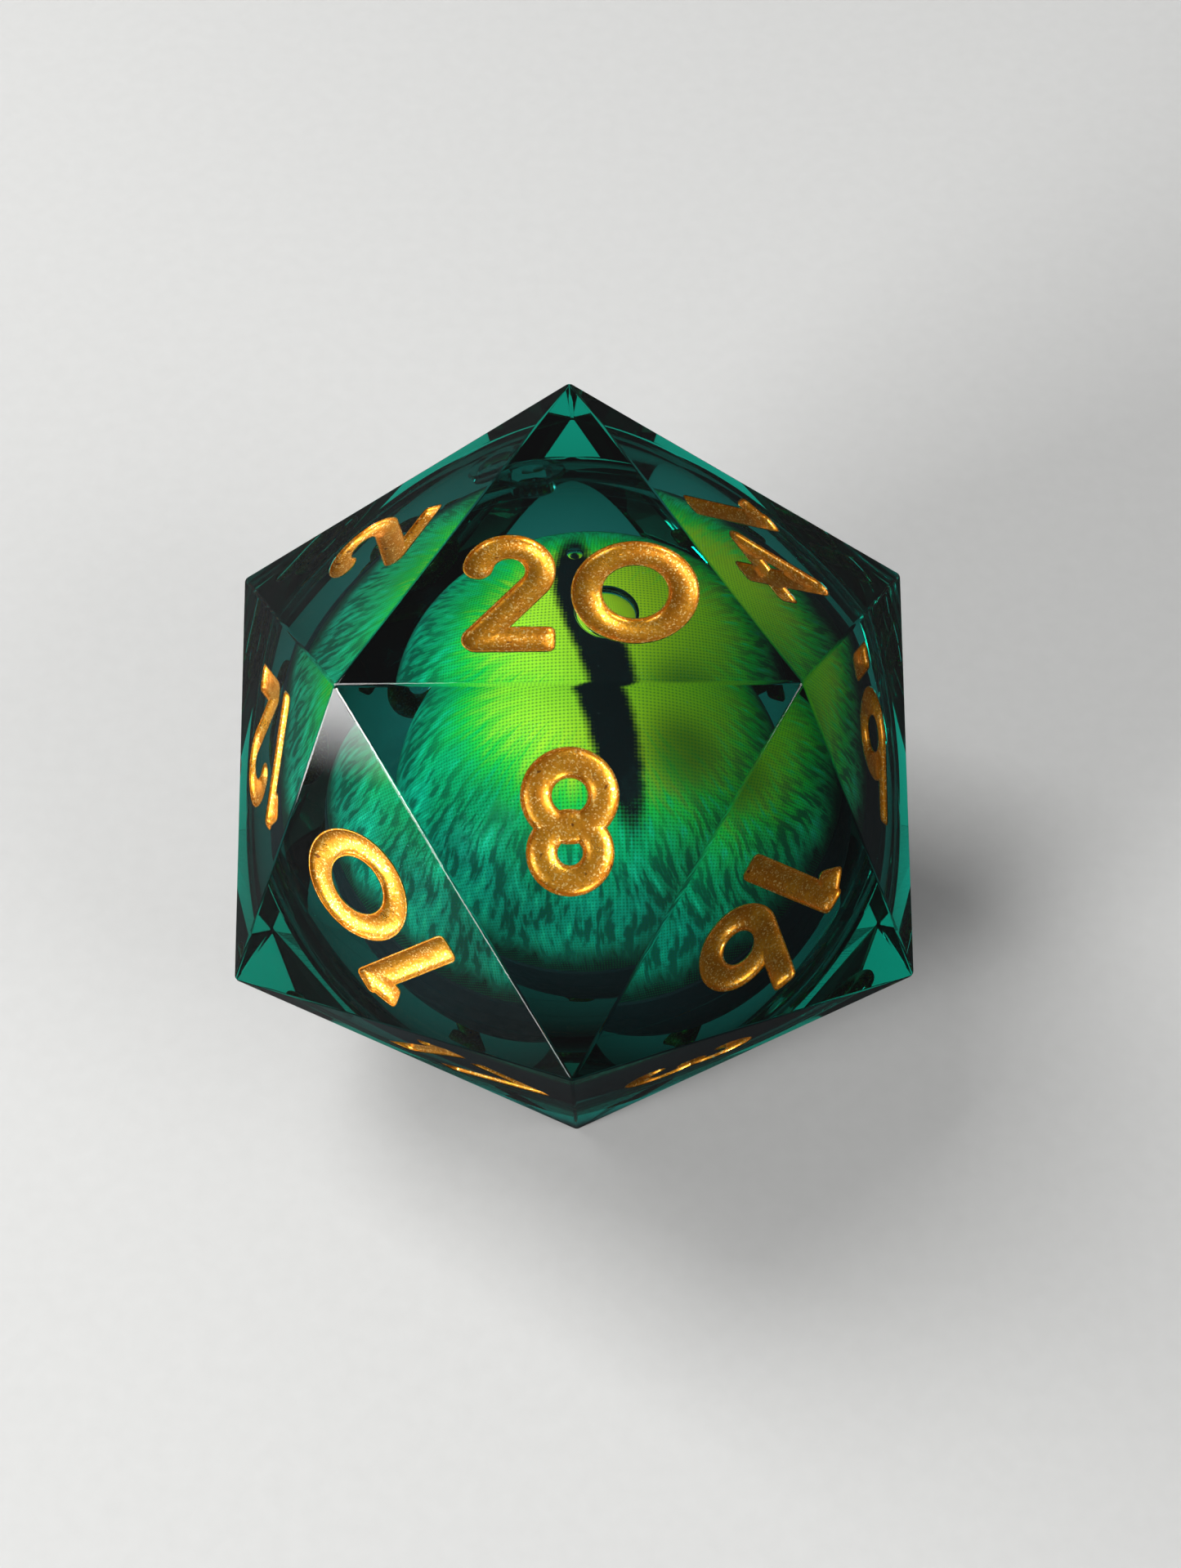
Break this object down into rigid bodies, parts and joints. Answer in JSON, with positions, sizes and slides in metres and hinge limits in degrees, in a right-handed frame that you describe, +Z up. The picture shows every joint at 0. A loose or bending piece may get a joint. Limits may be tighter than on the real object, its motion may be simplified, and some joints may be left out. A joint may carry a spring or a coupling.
{
  "type": "liquid core twenty-sided die",
  "caption": "Teal resin icosahedral die with gold numerals and a weighted eyeball in a liquid ball at its centre.",
  "frame": {"origin": "centre of the face the die rests on, the 1, under the middle of the 20", "axes": "+Z up through the 20; the numeral 20 reads upright with its top towards +Y, and the 8 faces -Y"},
  "size_m": [0.0374, 0.0432, 0.035],
  "materials": {
    "teal_resin": "gloss",
    "clear_acrylic": "gloss",
    "clear_glue": "gloss",
    "air": "gloss",
    "iris_print": "satin",
    "black_plastic": "satin",
    "steel": "satin",
    "gold_ink": "satin"
  },
  "bodies": {
    "die": {"core_fill_plug": "clear_glue", "core_shell_lower": "clear_acrylic", "core_shell_upper": "clear_acrylic", "ink_01": "gold_ink", "ink_02": "gold_ink", "ink_03": "gold_ink", "ink_04": "gold_ink", "ink_05": "gold_ink", "ink_06": "gold_ink", "ink_06_underline": "gold_ink", "ink_07": "gold_ink", "ink_08": "gold_ink", "ink_09": "gold_ink", "ink_09_underline": "gold_ink", "ink_10_tens": "gold_ink", "ink_10_units": "gold_ink", "ink_11_tens": "gold_ink", "ink_11_units": "gold_ink", "ink_12_tens": "gold_ink", "ink_12_units": "gold_ink", "ink_13_tens": "gold_ink", "ink_13_units": "gold_ink", "ink_14_tens": "gold_ink", "ink_14_units": "gold_ink", "ink_15_tens": "gold_ink", "ink_15_units": "gold_ink", "ink_16_tens": "gold_ink", "ink_16_units": "gold_ink", "ink_17_tens": "gold_ink", "ink_17_units": "gold_ink", "ink_18_tens": "gold_ink", "ink_18_units": "gold_ink", "ink_19_tens": "gold_ink", "ink_19_units": "gold_ink", "ink_20_tens": "gold_ink", "ink_20_units": "gold_ink", "resin_lower": "teal_resin", "resin_upper": "teal_resin"},
    "small_bubble": {"air_bubble_small": "air"},
    "large_bubble": {"air_bubble_large": "air"},
    "eyeball": {"iris_print": "iris_print", "eyeball_front": "black_plastic", "eyeball_back": "black_plastic", "eyeball_ballast": "steel"}
  },
  "joints": [
    {"name": "roll_x", "type": "hinge", "parent": "die", "child": "small_bubble", "pos_m": [0, 0, 0.0175], "axis": [1, 0, 0], "continuous": true},
    {"name": "roll_y", "type": "hinge", "parent": "small_bubble", "child": "large_bubble", "pos_m": [0, 0, 0.0175], "axis": [0, 1, 0], "continuous": true},
    {"name": "eye_spin", "type": "hinge", "parent": "large_bubble", "child": "eyeball", "pos_m": [0, 0, 0.0175], "axis": [0, 0, 1], "continuous": true}
  ]
}
